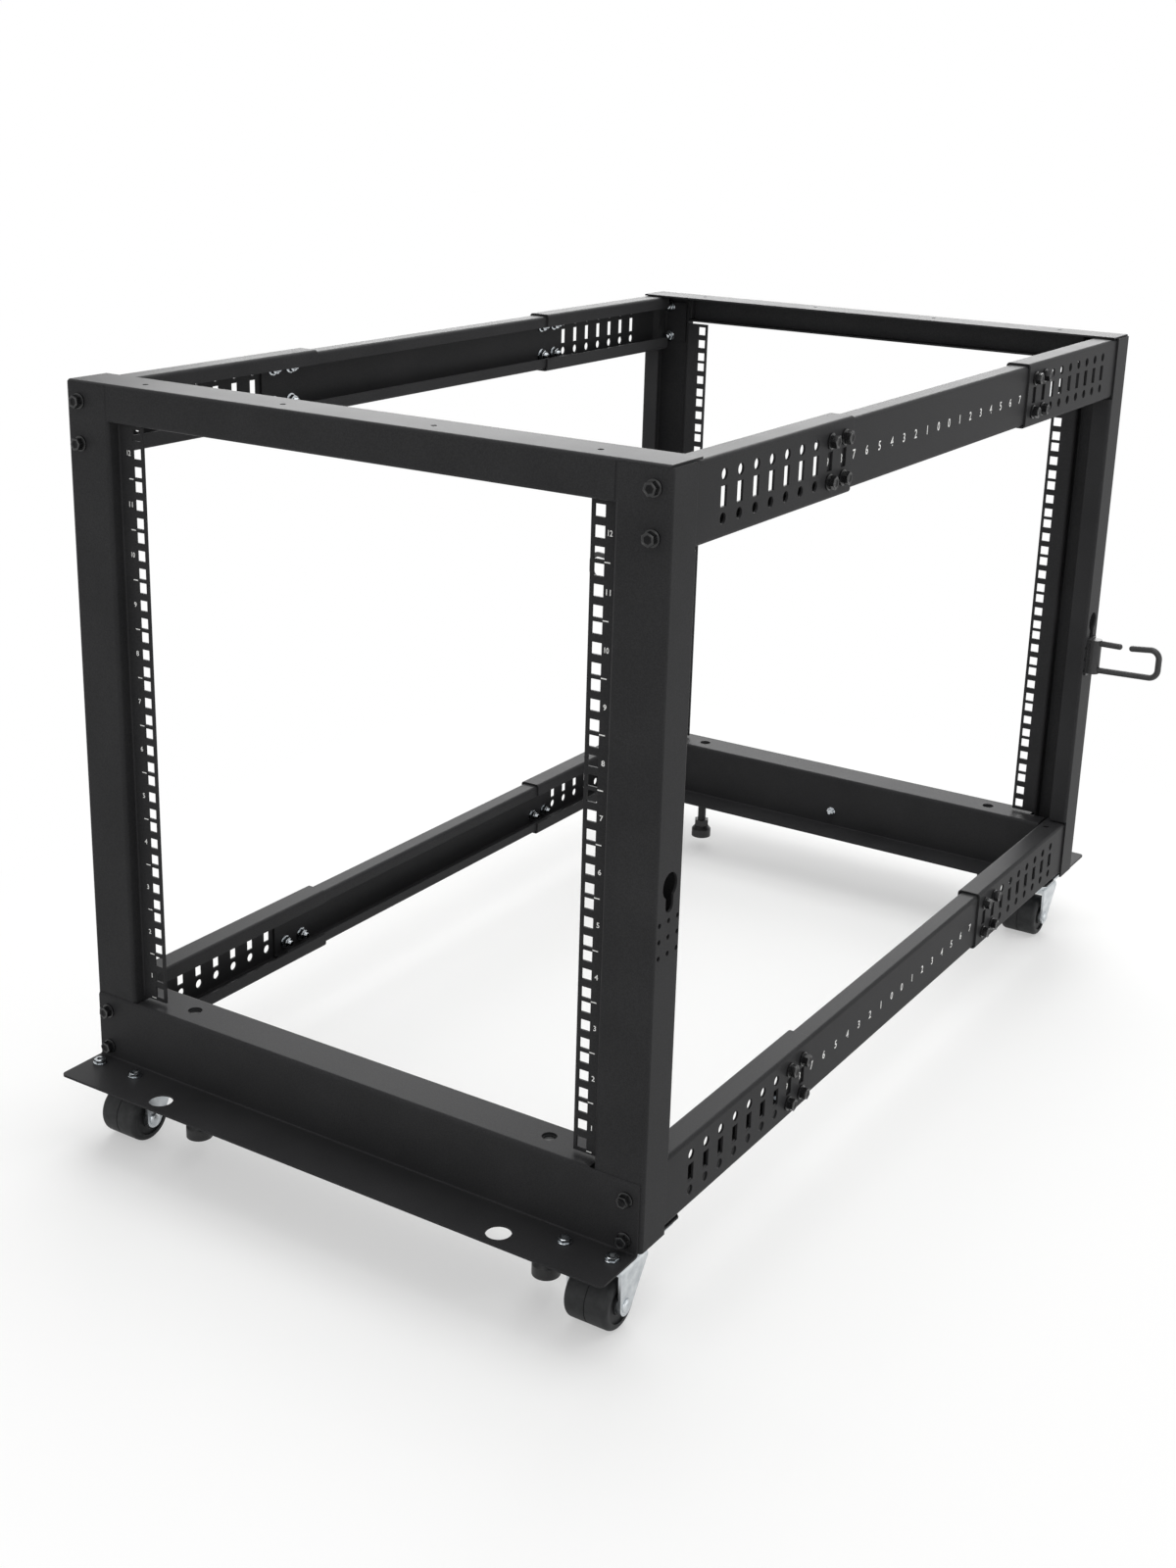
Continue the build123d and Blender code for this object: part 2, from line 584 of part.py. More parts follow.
pieces["lower_right_rear_sleeve"] = mirror(pieces["lower_right_front_sleeve"], about=Plane.XZ)
for name in [key for key in pieces if "right" in key]:
    pieces[name.replace("right", "left")] = mirror(pieces[name], about=Plane.YZ)

places = {"front_left": (-1, 1), "front_right": (1, 1), "rear_left": (-1, -1), "rear_right": (1, -1)}
for corner, (side, end) in places.items():
    caster_place = Location((side * caster_x, end * axis_y, 0))
    foot_place = Location((side * foot_x, end * axis_y, 0))
    pieces[f"{corner}_caster_plate"] = caster_plate.part.moved(caster_place)
    pieces[f"{corner}_caster_fork"] = caster_fork.part.moved(caster_place)
    pieces[f"{corner}_caster_wheel"] = caster_wheel.part.moved(caster_place)
    pieces[f"{corner}_levelling_foot"] = levelling_foot.part.moved(foot_place)

os.makedirs("parts", exist_ok=True)
for name, piece in pieces.items():
    piece.label = name
    export_step(piece, f"parts/{name}.step")
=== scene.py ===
"""Looks of the four-post open-frame rack: coats, plating, fasteners and printed marks on the CAD frame."""

import json
import math

import bpy
from mathutils import Matrix, Vector


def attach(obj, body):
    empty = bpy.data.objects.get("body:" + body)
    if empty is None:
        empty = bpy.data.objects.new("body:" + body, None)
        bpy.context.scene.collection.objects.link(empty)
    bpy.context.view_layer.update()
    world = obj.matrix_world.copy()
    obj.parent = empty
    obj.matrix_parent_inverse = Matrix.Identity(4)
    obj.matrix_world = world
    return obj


MM = 0.001

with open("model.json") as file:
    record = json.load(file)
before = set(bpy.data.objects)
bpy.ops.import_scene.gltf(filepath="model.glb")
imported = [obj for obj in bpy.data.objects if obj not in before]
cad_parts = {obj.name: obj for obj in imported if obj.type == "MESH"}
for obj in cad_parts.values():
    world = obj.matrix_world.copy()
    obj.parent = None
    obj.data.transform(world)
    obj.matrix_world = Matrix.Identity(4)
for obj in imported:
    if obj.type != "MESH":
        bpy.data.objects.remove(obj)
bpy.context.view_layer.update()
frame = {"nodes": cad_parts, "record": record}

# Places that the fasteners and prints share with the solids, in millimetres. The rack is symmetric, so each
# place is given for one side and one end.
SHEET = 2.0
POST_FACE_Y = 502.0
RAIL_FACE_Y = 489.0
BASE_WEB_Y = 504.0  # outer web of a base beam
HAT_INNER_Y = 460.0  # inner web of a base beam
EARTH_Z = 94.5
# Bolts through the posts' faces, a pair to each side rail
BOLT_X = 285.0
BOLT_RISE = 18.25  # over and under the pair's middle
UPPER_BOLTS = (678.3 + BOLT_RISE, 678.3 - BOLT_RISE)
LOWER_BOLTS = (105.3 + BOLT_RISE, 105.3 - BOLT_RISE)
# Side rails, with two columns of two bolts at each joint
UPPER_MID = 679.5
LOWER_MID = 113.0
SLEEVE_FACE_X = 298.0
BAR_FACE_X = 296.0
COLUMN_PITCH = 25.4
JOINT_Y = 219.0
JOINT_COLUMNS = (JOINT_Y, JOINT_Y + COLUMN_PITCH)
JOINT_ROWS = (16.75, -16.75)
# Casters and levelling feet
CASTER_X = 261.0
AXIS_Y = 481.0  # king pins and feet
PLATE_BOLT_X = 22.5
PLATE_BOLT_Y = 38.5
FLANGE_TOP = 76.0
PLATE_LOW = 71.0
AXLE_Z = 24.0
TRAIL = 19.0  # axle in front of the king pin
FORK_HALF = 26.0  # outer face of a fork's cheek
FOOT_X = 196.5
# Low and high of the coat's bridge between top beam and post
SEAM_X = (251.8, 256.5)
SEAM_Y = (499.0, 501.45)
SEAM_Z = (682.0, 712.0)
# Rack units on the rails
UNIT = 44.45
UNIT_BASE = 144.0
UNIT_COUNT = 12
# Hexagon heads: shares of the width across the flats
CHAMFER_INSET, CHAMFER_RISE = 0.07, 0.04
DIMPLE_INSET, DIMPLE_DEPTH = 0.12, 0.05
WASHER_TOP = 1.02  # flat on top of the washer flange
WASHER_RISE = 0.45  # dome of the washer flange over its rim's height
ABOVE_WASHER = 3.0  # millimetres that every hexagon's top is over and no washer's
CASTER_BORE_INSET, CASTER_BORE_DEPTH = 1.4, 2.0  # open thread of a caster's nut, in millimetres
# Threads
THREAD_LEAD = 0.2  # plain length before the first groove, in millimetres
THREAD_ROOT = 0.84  # root over crest of a bolt's thread
TIP_INSET, TIP_RISE = 0.1, 0.08  # point of a bolt's end over its diameter
STUD_CREST = 10.7  # diameter over the crests, in millimetres
STUD_THREAD = (33.0, 104.0)  # low and high, in millimetres
STUD_TURNS = 47
STUD_ROOT = 0.93  # root over crest of the stud's thread
# Axle rivets, in millimetres, with each ring's rise and its radius over the last one's
RIVET_RADIUS = 6.2
RIVET_RIM = 0.6
RIVET_DOME = ((0.8, 0.86), (0.6, 0.78), (0.3, 0.6))
RIVET_SMOOTH = 50  # degrees
# A face counts as turned up when its normal's height is over this, and as flat when it is over the second
FACING_UP, FLAT_UP = 0.9, 0.99
# Fasteners are turned by hand, so no two in a group stand at the same angle, in degrees
TURN_FIRST, TURN_STEP = 11, 23
# Prints, in millimetres
PRINT_LIFT = 0.06
NUMBER_X = 241.8
NUMBER_HEIGHT = 4.6
NUMBER_WIDEST = 4.0
TICK_X = (237.5, 242.6)
TICK_WIDTH = 0.9
SCALE_HEIGHT = 8.0
SCALE_DROP = 1.0  # digits below the bar's middle
SCALE_START = (-16.7, 7.5)  # first digit towards the front and the rear
SCALE_DIGITS = 10
BOLDER = 0.012  # strokes of the print, in letter heights
# Sockets of a colour mix, which Blender tells apart only by number
MIX_SHARE, MIX_FIRST, MIX_SECOND, MIX_RESULT = 0, 6, 7, 2
UP = (0, 0, 1)
ENDS = {"front": -1, "rear": 1}
SIDES = {"left": -1, "right": 1}
LEVELS = {"upper": UPPER_MID, "lower": LOWER_MID}
CORNERS = {f"{end}_{side}": (SIDES[side], ENDS[end]) for end in ENDS for side in SIDES}


def hex_colour(code):
    """A six-digit sRGB code as linear red, green, blue and full alpha."""
    parts = [int(code[i:i + 2], 16) / 255 for i in (0, 2, 4)]
    return [c / 12.92 if c <= 0.04045 else ((c + 0.055) / 1.055) ** 2.4 for c in parts] + [1.0]


def per_metre(size_mm):
    """Texture scale whose features are about this size."""
    return 1.0 / (size_mm * MM)


def add_node(tree, kind, inputs=None, **settings):
    """One node with its settings; an input is a value or another node's output socket."""
    made = tree.nodes.new(kind)
    for name, value in settings.items():
        setattr(made, name, value)
    for socket, value in (inputs or {}).items():
        if isinstance(value, bpy.types.NodeSocket):
            tree.links.new(value, made.inputs[socket])
        else:
            made.inputs[socket].default_value = value
    return made


def new_material(name):
    """An empty node material with its principled shader and Object coordinates."""
    material = bpy.data.materials.new(name)
    material.use_nodes = True
    tree = material.node_tree
    place = add_node(tree, "ShaderNodeTexCoord").outputs["Object"]
    return material, tree, tree.nodes["Principled BSDF"], place


def two_tone(tree, pattern, dark, light, least=0.3, most=0.7):
    """Colour that goes from a dark to a light tone where the pattern goes from least to most."""
    share = add_node(tree, "ShaderNodeMapRange", {"Value": pattern, "From Min": least, "From Max": most})
    mixed = add_node(
        tree, "ShaderNodeMix",
        {MIX_SHARE: share.outputs["Result"], MIX_FIRST: hex_colour(dark), MIX_SECOND: hex_colour(light)},
        data_type="RGBA",
    )
    return mixed.outputs[MIX_RESULT]


def powder_coated_steel():
    """Black polyester powder baked on sheet steel: a fine pebbled skin that scatters highlights into a satin
    sheen, a little uneven in tone where the spray lay thicker."""
    material, tree, shader, place = new_material("powder_coated_steel")
    cloud = add_node(tree, "ShaderNodeTexNoise", {"Vector": place, "Scale": per_metre(70), "Detail": 3.0})
    # Real grain is about 0.3 mm; 1.1 mm is the finest that a whole view still shows
    grain = add_node(tree, "ShaderNodeTexNoise", {"Vector": place, "Scale": per_metre(1.1), "Detail": 2.0})
    tone = two_tone(tree, cloud.outputs["Fac"], "2b2b2c", "303031")
    # Painted light and shade: the pebbles' crowns are painted a little lighter and the hollows between them
    # darker
    painted_pebble_light = add_node(
        tree, "ShaderNodeMapRange",
        {"Value": grain.outputs["Fac"], "From Min": 0.3, "From Max": 0.7, "To Min": 0.84, "To Max": 1.16},
    )
    shade = add_node(
        tree, "ShaderNodeVectorMath", {0: tone, "Scale": painted_pebble_light.outputs["Result"]}, operation="SCALE"
    )
    tree.links.new(shade.outputs["Vector"], shader.inputs["Base Color"])
    rough = add_node(
        tree, "ShaderNodeMapRange", {"Value": cloud.outputs["Fac"], "To Min": 0.40, "To Max": 0.48}
    )
    tree.links.new(rough.outputs["Result"], shader.inputs["Roughness"])
    # The coat rounds every cut edge by about half a millimetre
    edge = add_node(tree, "ShaderNodeBevel", {"Radius": 0.5 * MM}, samples=6)
    bump = add_node(
        tree, "ShaderNodeBump",
        {
            "Height": grain.outputs["Fac"], "Strength": 0.22, "Distance": 0.06 * MM,
            "Normal": edge.outputs["Normal"],
        },
    )
    tree.links.new(bump.outputs["Normal"], shader.inputs["Normal"])
    shader.inputs["Specular IOR Level"].default_value = 0.06
    return material


def smooth_black_coat():
    """Black dip coat on bent steel rod: smoother and glossier than the sheet's powder, with slow waves."""
    material, tree, shader, place = new_material("smooth_black_coat")
    cloud = add_node(tree, "ShaderNodeTexNoise", {"Vector": place, "Scale": per_metre(18), "Detail": 2.0})
    tone = two_tone(tree, cloud.outputs["Fac"], "202021", "2a2a2b")
    tree.links.new(tone, shader.inputs["Base Color"])
    bump = add_node(
        tree, "ShaderNodeBump", {"Height": cloud.outputs["Fac"], "Strength": 0.15, "Distance": 0.2 * MM}
    )
    tree.links.new(bump.outputs["Normal"], shader.inputs["Normal"])
    shader.inputs["Roughness"].default_value = 0.36
    return material


def black_oxide_steel(name, sheen):
    """Black oxide on cold-headed steel bolts: a deep black film with faint forging marks in its gloss, oily
    and crisp on drawn and turned faces, dull where the die struck."""
    material, tree, shader, place = new_material(name)
    marks = add_node(tree, "ShaderNodeTexNoise", {"Vector": place, "Scale": per_metre(2.5), "Detail": 4.0})
    tone = two_tone(tree, marks.outputs["Fac"], "101011", "19191a")
    tree.links.new(tone, shader.inputs["Base Color"])
    rough = add_node(
        tree, "ShaderNodeMapRange", {"Value": marks.outputs["Fac"], "To Min": 0.18, "To Max": 0.32}
    )
    tree.links.new(rough.outputs["Result"], shader.inputs["Roughness"])
    shader.inputs["Specular IOR Level"].default_value = sheen
    return material


def bright_zinc_plate():
    """Bright zinc on pressed steel: pale bluish metal, softly clouded, with rubbed streaks in its gloss."""
    material, tree, shader, place = new_material("bright_zinc_plate")
    cloud = add_node(tree, "ShaderNodeTexNoise", {"Vector": place, "Scale": per_metre(9), "Detail": 4.0})
    stretch = add_node(tree, "ShaderNodeMapping", {"Vector": place, "Scale": (1.0, 1.0, 0.15)})
    streak = add_node(
        tree, "ShaderNodeTexNoise",
        {"Vector": stretch.outputs["Vector"], "Scale": per_metre(0.8), "Detail": 2.0},
    )
    tone = two_tone(tree, cloud.outputs["Fac"], "b4b9bd", "d3d7d9")
    tree.links.new(tone, shader.inputs["Base Color"])
    rough = add_node(
        tree, "ShaderNodeMapRange", {"Value": streak.outputs["Fac"], "To Min": 0.22, "To Max": 0.40}
    )
    tree.links.new(rough.outputs["Result"], shader.inputs["Roughness"])
    bump = add_node(
        tree, "ShaderNodeBump", {"Height": streak.outputs["Fac"], "Strength": 0.1, "Distance": 0.05 * MM}
    )
    tree.links.new(bump.outputs["Normal"], shader.inputs["Normal"])
    shader.inputs["Metallic"].default_value = 1.0
    return material


def bright_zinc_fastener():
    """Bright zinc on cold-formed nuts and bolts: near-mirror facets that show black and white side by side,
    dulled in spots by handling."""
    material, tree, shader, place = new_material("bright_zinc_fastener")
    spots = add_node(tree, "ShaderNodeTexNoise", {"Vector": place, "Scale": per_metre(2.0), "Detail": 3.0})
    tone = two_tone(tree, spots.outputs["Fac"], "a3a8ac", "c6cacd")
    tree.links.new(tone, shader.inputs["Base Color"])
    rough = add_node(
        tree, "ShaderNodeMapRange", {"Value": spots.outputs["Fac"], "To Min": 0.08, "To Max": 0.22}
    )
    tree.links.new(rough.outputs["Result"], shader.inputs["Roughness"])
    shader.inputs["Metallic"].default_value = 1.0
    return material


def moulded_rubber():
    """Black moulded rubber wheels: matt, a little greyed by dust, with a fine mould grain."""
    material, tree, shader, place = new_material("moulded_rubber")
    dust = add_node(tree, "ShaderNodeTexNoise", {"Vector": place, "Scale": per_metre(7), "Detail": 5.0})
    grain = add_node(tree, "ShaderNodeTexNoise", {"Vector": place, "Scale": per_metre(0.9), "Detail": 2.0})
    tone = two_tone(tree, dust.outputs["Fac"], "1d1e1f", "2b2c2d", least=0.35)
    tree.links.new(tone, shader.inputs["Base Color"])
    bump = add_node(
        tree, "ShaderNodeBump", {"Height": grain.outputs["Fac"], "Strength": 0.25, "Distance": 0.08 * MM}
    )
    tree.links.new(bump.outputs["Normal"], shader.inputs["Normal"])
    shader.inputs["Roughness"].default_value = 0.58
    shader.inputs["Specular IOR Level"].default_value = 0.3
    return material


def black_foot():
    """Levelling foot: moulded black pad on a blackened stud, satin and slightly mottled by oil."""
    material, tree, shader, place = new_material("black_foot")
    painted_pebble_light = add_node(tree, "ShaderNodeTexNoise", {"Vector": place, "Scale": per_metre(3), "Detail": 3.0})
    tone = two_tone(tree, painted_pebble_light.outputs["Fac"], "1a1a1b", "242425")
    tree.links.new(tone, shader.inputs["Base Color"])
    rough = add_node(
        tree, "ShaderNodeMapRange", {"Value": painted_pebble_light.outputs["Fac"], "To Min": 0.38, "To Max": 0.52}
    )
    tree.links.new(rough.outputs["Result"], shader.inputs["Roughness"])
    return material


def screen_print_ink():
    """White screen-print ink on the coat: flat, thin, a touch uneven in cover."""
    material, tree, shader, place = new_material("screen_print_ink")
    cover = add_node(tree, "ShaderNodeTexNoise", {"Vector": place, "Scale": per_metre(1.5), "Detail": 3.0})
    tone = two_tone(tree, cover.outputs["Fac"], "dededc", "f4f4f2", most=0.6)
    tree.links.new(tone, shader.inputs["Base Color"])
    shader.inputs["Roughness"].default_value = 0.5
    return material


COAT = powder_coated_steel()
RING_COAT = smooth_black_coat()
BLACK_BOLT = black_oxide_steel("black_oxide_steel", 0.45)
STRUCK_FACE = black_oxide_steel("black_oxide_struck_face", 0.1)
ZINC = bright_zinc_plate()
FASTENER = bright_zinc_fastener()
RUBBER = moulded_rubber()
FOOT = black_foot()
INK = screen_print_ink()

slot_finish = {"powder_coat": COAT, "ring_coat": RING_COAT, "zinc": ZINC, "wheel": RUBBER, "foot": FOOT}
for part in frame["record"]["subparts"]:
    node_mesh = frame["nodes"][part["node"]].data
    node_mesh.materials.clear()
    node_mesh.materials.append(slot_finish[part["material_slot"]])


def only(piece):
    """Make this piece the one that operators act on."""
    bpy.ops.object.select_all(action="DESELECT")
    piece.select_set(True)
    bpy.context.view_layer.objects.active = piece


def pick_faces(piece, keep):
    """Go into edit mode with just the faces selected that keep accepts."""
    bpy.ops.object.mode_set(mode="OBJECT")
    for face in piece.data.polygons:
        face.select = keep(face)
    for edge in piece.data.edges:
        edge.select = False
    for vertex in piece.data.vertices:
        vertex.select = False
    for face in piece.data.polygons:
        if face.select:
            for index in face.vertices:
                piece.data.vertices[index].select = True
    bpy.ops.object.mode_set(mode="EDIT")
    bpy.ops.mesh.select_mode(type="FACE")


def join(pieces, name):
    """Join pieces to the first and name it."""
    bpy.ops.object.select_all(action="DESELECT")
    for piece in pieces:
        piece.select_set(True)
    bpy.context.view_layer.objects.active = pieces[0]
    if len(pieces) > 1:
        bpy.ops.object.join()
    whole = bpy.context.object
    whole.name = name
    whole.data.name = name
    return whole


def settle(piece):
    """Put a piece's place, turn and size into its mesh."""
    only(piece)
    bpy.ops.object.transform_apply(location=True, rotation=True, scale=True)


def smooth(piece, degrees=35):
    """Smooth shading up to this angle."""
    only(piece)
    bpy.ops.object.shade_smooth_by_angle(angle=math.radians(degrees))


def hex_head(across, height, flange, flange_height, dimple):
    """Hexagon with a domed washer flange under it, standing on the seat at the origin."""
    bpy.ops.object.select_all(action="DESELECT")
    bpy.ops.mesh.primitive_cylinder_add(
        vertices=6, radius=across / 2 / math.cos(math.pi / 6) * MM, depth=(height - flange_height / 2) * MM,
        location=(0, 0, (height + flange_height / 2) / 2 * MM),
    )
    head = bpy.context.object
    settle(head)
    pick_faces(head, lambda face: face.normal.z > FACING_UP)
    bpy.ops.mesh.inset(thickness=across * CHAMFER_INSET * MM)
    bpy.ops.transform.translate(value=(0, 0, across * CHAMFER_RISE * MM))
    if dimple:
        bpy.ops.mesh.inset(thickness=across * DIMPLE_INSET * MM)
        bpy.ops.transform.translate(value=(0, 0, -across * DIMPLE_DEPTH * MM))
    bpy.ops.object.mode_set(mode="OBJECT")
    bpy.ops.mesh.primitive_cylinder_add(
        vertices=20, radius=flange / 2 * MM, depth=flange_height * MM, location=(0, 0, flange_height / 2 * MM)
    )
    washer = bpy.context.object
    settle(washer)
    pick_faces(washer, lambda face: face.normal.z > FACING_UP)
    bpy.ops.mesh.inset(thickness=(flange - across * WASHER_TOP) / 2 * MM)
    bpy.ops.transform.translate(value=(0, 0, flange_height * WASHER_RISE * MM))
    bpy.ops.object.mode_set(mode="OBJECT")
    return join([head, washer], "hex_head")


def flange_bolt():
    """Black hexagon flange bolt, M6."""
    bolt = hex_head(across=10.0, height=7.0, flange=13.5, flange_height=1.4, dimple=True)
    bolt.data.materials.append(BLACK_BOLT)
    bolt.data.materials.append(STRUCK_FACE)
    for face in bolt.data.polygons:
        if face.normal.z > FLAT_UP and face.center.z > ABOVE_WASHER * MM:
            face.material_index = 1
    smooth(bolt)
    return bolt


def thread_end(diameter, start, length, turns, root=THREAD_ROOT):
    """Threaded end of a bolt: a round stub grooved ring by ring."""
    bpy.ops.object.select_all(action="DESELECT")
    bpy.ops.mesh.primitive_cylinder_add(
        vertices=14, radius=diameter / 2 * MM, depth=THREAD_LEAD * MM,
        location=(0, 0, (start + THREAD_LEAD / 2) * MM),
    )
    stub = bpy.context.object
    settle(stub)
    pick_faces(stub, lambda face: face.normal.z > FACING_UP)
    step = length / turns / 2
    for _ in range(turns):
        for factor in (root, 1 / root):
            bpy.ops.mesh.extrude_region_move(TRANSFORM_OT_translate={"value": (0, 0, step * MM)})
            bpy.ops.transform.resize(value=(factor, factor, 1))
    bpy.ops.mesh.inset(thickness=diameter * TIP_INSET * MM)
    bpy.ops.transform.translate(value=(0, 0, diameter * TIP_RISE * MM))
    bpy.ops.object.mode_set(mode="OBJECT")
    return stub


def flange_nut():
    """Zinc flange nut, M6, with the bolt's end standing out of it."""
    nut = hex_head(across=10.0, height=6.0, flange=14.0, flange_height=1.5, dimple=False)
    end = thread_end(diameter=6.0, start=5.5, length=4.0, turns=4)
    nut = join([nut, end], "flange_nut")
    nut.data.materials.append(FASTENER)
    smooth(nut)
    return nut


def earth_nut():
    """Small zinc flange nut, M5, with the earth bolt's end standing out of it."""
    nut = hex_head(across=8.0, height=4.5, flange=11.0, flange_height=1.2, dimple=False)
    end = thread_end(diameter=5.0, start=4.0, length=2.4, turns=3)
    nut = join([nut, end], "earth_nut")
    nut.data.materials.append(FASTENER)
    smooth(nut)
    return nut


def caster_nut():
    """Low zinc flange nut, M6: the floor of its open thread gets the black bolt finish as painted shade."""
    nut = hex_head(across=10.0, height=4.1, flange=13.0, flange_height=1.2, dimple=False)
    pick_faces(nut, lambda face: face.normal.z > FLAT_UP and face.center.z > ABOVE_WASHER * MM)
    bpy.ops.mesh.inset(thickness=CASTER_BORE_INSET * MM)
    bpy.ops.mesh.extrude_region_move(TRANSFORM_OT_translate={"value": (0, 0, -CASTER_BORE_DEPTH * MM)})
    bpy.ops.object.mode_set(mode="OBJECT")
    nut.data.materials.append(FASTENER)
    # Painted shade: the floor of the open thread, still selected, gets the black bolt finish
    nut.data.materials.append(BLACK_BOLT)
    for face in nut.data.polygons:
        if face.select:
            face.material_index = 1
    smooth(nut)
    return nut


def stud_thread():
    """Thread of a levelling foot's stud, M10, from its hexagon to under the bush, also when it is raised."""
    low, high = STUD_THREAD
    thread = thread_end(STUD_CREST, low, high - low, STUD_TURNS, STUD_ROOT)
    thread.data.materials.append(FOOT)
    smooth(thread)
    return thread


def zinc_head():
    """Zinc hexagon flange bolt head, M6."""
    head = hex_head(across=10.0, height=5.0, flange=14.0, flange_height=1.2, dimple=True)
    head.data.materials.append(FASTENER)
    smooth(head)
    return head


def rivet_head():
    """Domed end of a caster's axle rivet."""
    bpy.ops.object.select_all(action="DESELECT")
    bpy.ops.mesh.primitive_cylinder_add(
        vertices=24, radius=RIVET_RADIUS * MM, depth=RIVET_RIM * MM, location=(0, 0, RIVET_RIM / 2 * MM)
    )
    rivet = bpy.context.object
    settle(rivet)
    pick_faces(rivet, lambda face: face.normal.z > FACING_UP)
    for rise, factor in RIVET_DOME:
        bpy.ops.mesh.extrude_region_move(TRANSFORM_OT_translate={"value": (0, 0, rise * MM)})
        bpy.ops.transform.resize(value=(factor, factor, 1))
    bpy.ops.object.mode_set(mode="OBJECT")
    rivet.data.materials.append(ZINC)
    smooth(rivet, RIVET_SMOOTH)
    return rivet


def place_copies(master, name, spots, body):
    """Copies of a fastener as one piece that rides on the body, each at its place and along its axis."""
    copies = []
    for count, (place, axis) in enumerate(spots):
        only(master)
        bpy.ops.object.duplicate(linked=False)
        copy = bpy.context.object
        turn = Matrix.Rotation(math.radians(TURN_FIRST + TURN_STEP * count), 4, "Z")
        aim = Vector(UP).rotation_difference(Vector(axis)).to_matrix().to_4x4()
        copy.matrix_world = Matrix.Translation(Vector(place) * MM) @ aim @ turn
        settle(copy)
        copies.append(copy)
    group = join(copies, name)
    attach(group, body)


bolt_master = flange_bolt()
nut_master = flange_nut()
earth_master = earth_nut()
caster_nut_master = caster_nut()
thread_master = stud_thread()
head_master = zinc_head()
rivet_master = rivet_head()

# Frame bolts through the posts' faces, with their nuts behind the sleeves' tongues
for end_name, end in ENDS.items():
    heads, nuts = [], []
    for side in SIDES.values():
        for z in UPPER_BOLTS:
            heads.append(((side * BOLT_X, end * POST_FACE_Y, z), (0, end, 0)))
            nuts.append(((side * BOLT_X, end * (POST_FACE_Y - 2 * SHEET), z), (0, -end, 0)))
        for z in LOWER_BOLTS:
            heads.append(((side * BOLT_X, end * BASE_WEB_Y, z), (0, end, 0)))
            nuts.append(((side * BOLT_X, end * (POST_FACE_Y - 2 * SHEET), z), (0, -end, 0)))
    place_copies(bolt_master, f"{end_name}_post_bolts", heads, "frame")
    place_copies(nut_master, f"{end_name}_post_nuts", nuts, "frame")

# Side rail bolts: heads outside, nuts inside the bars
for side_name, side in SIDES.items():
    for level, mid in LEVELS.items():
        for end_name, end in ENDS.items():
            joint = f"{level}_{side_name}_{end_name}"
            holes = [(end * y, mid + row) for y in JOINT_COLUMNS for row in JOINT_ROWS]
            heads = [((side * SLEEVE_FACE_X, y, z), (side, 0, 0)) for y, z in holes]
            nuts = [((side * (BAR_FACE_X - SHEET), y, z), (-side, 0, 0)) for y, z in holes]
            place_copies(bolt_master, f"{joint}_rail_bolts", heads, "frame")
            place_copies(nut_master, f"{joint}_rail_nuts", nuts, "frame")

# Powder coat bridges the groove between each top beam's web and the post's rounded edge
for end_name, end in ENDS.items():
    bars = []
    for side in SIDES.values():
        bpy.ops.object.select_all(action="DESELECT")
        bpy.ops.mesh.primitive_cube_add(size=1)
        bar = bpy.context.object
        bar.scale = [(high - low) * MM for low, high in (SEAM_X, SEAM_Y, SEAM_Z)]
        bar.location = Vector((side * sum(SEAM_X), end * sum(SEAM_Y), sum(SEAM_Z))) / 2 * MM
        settle(bar)
        bars.append(bar)
    fill = join(bars, f"{end_name}_seam_fill")
    fill.data.materials.append(COAT)
    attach(fill, "frame")

# Earth bolts in the middle of the base beams' inner webs
for end_name, end in ENDS.items():
    earth = [((0, end * HAT_INNER_Y, EARTH_Z), (0, -end, 0))]
    place_copies(earth_master, f"{end_name}_earth_nut", earth, "frame")

# Casters: nuts on the flanges, bolt heads under the plates, rivets on the forks
for corner, (side, end) in CORNERS.items():
    middle = Vector((side * CASTER_X, end * AXIS_Y, 0))
    holes = [Vector((x, y, 0)) for x in (-PLATE_BOLT_X, PLATE_BOLT_X) for y in (-PLATE_BOLT_Y, PLATE_BOLT_Y)]
    nuts = [(middle + hole + Vector((0, 0, FLANGE_TOP)), UP) for hole in holes]
    heads = [(middle + hole + Vector((0, 0, PLATE_LOW)), (0, 0, -1)) for hole in holes]
    place_copies(caster_nut_master, f"{corner}_caster_nuts", nuts, "frame")
    place_copies(head_master, f"{corner}_caster_bolts", heads, "frame")
    axle = middle + Vector((0, -TRAIL, AXLE_Z))
    rivets = [(axle + Vector((x, 0, 0)), (math.copysign(1, x), 0, 0)) for x in (-FORK_HALF, FORK_HALF)]
    place_copies(rivet_master, f"{corner}_axle_rivets", rivets, f"{corner}_fork")
    stud = [((side * FOOT_X, end * AXIS_Y, 0), UP)]
    place_copies(thread_master, f"{corner}_stud_thread", stud, f"{corner}_foot")

masters = (
    bolt_master, nut_master, earth_master, caster_nut_master, thread_master, head_master, rivet_master
)
for master in masters:
    bpy.data.objects.remove(master)


def facing(right, up):
    """Turn that lays a flat piece's X along right and its Y along up."""
    right, up = Vector(right), Vector(up)
    return Matrix((right, up, right.cross(up))).transposed().to_4x4()


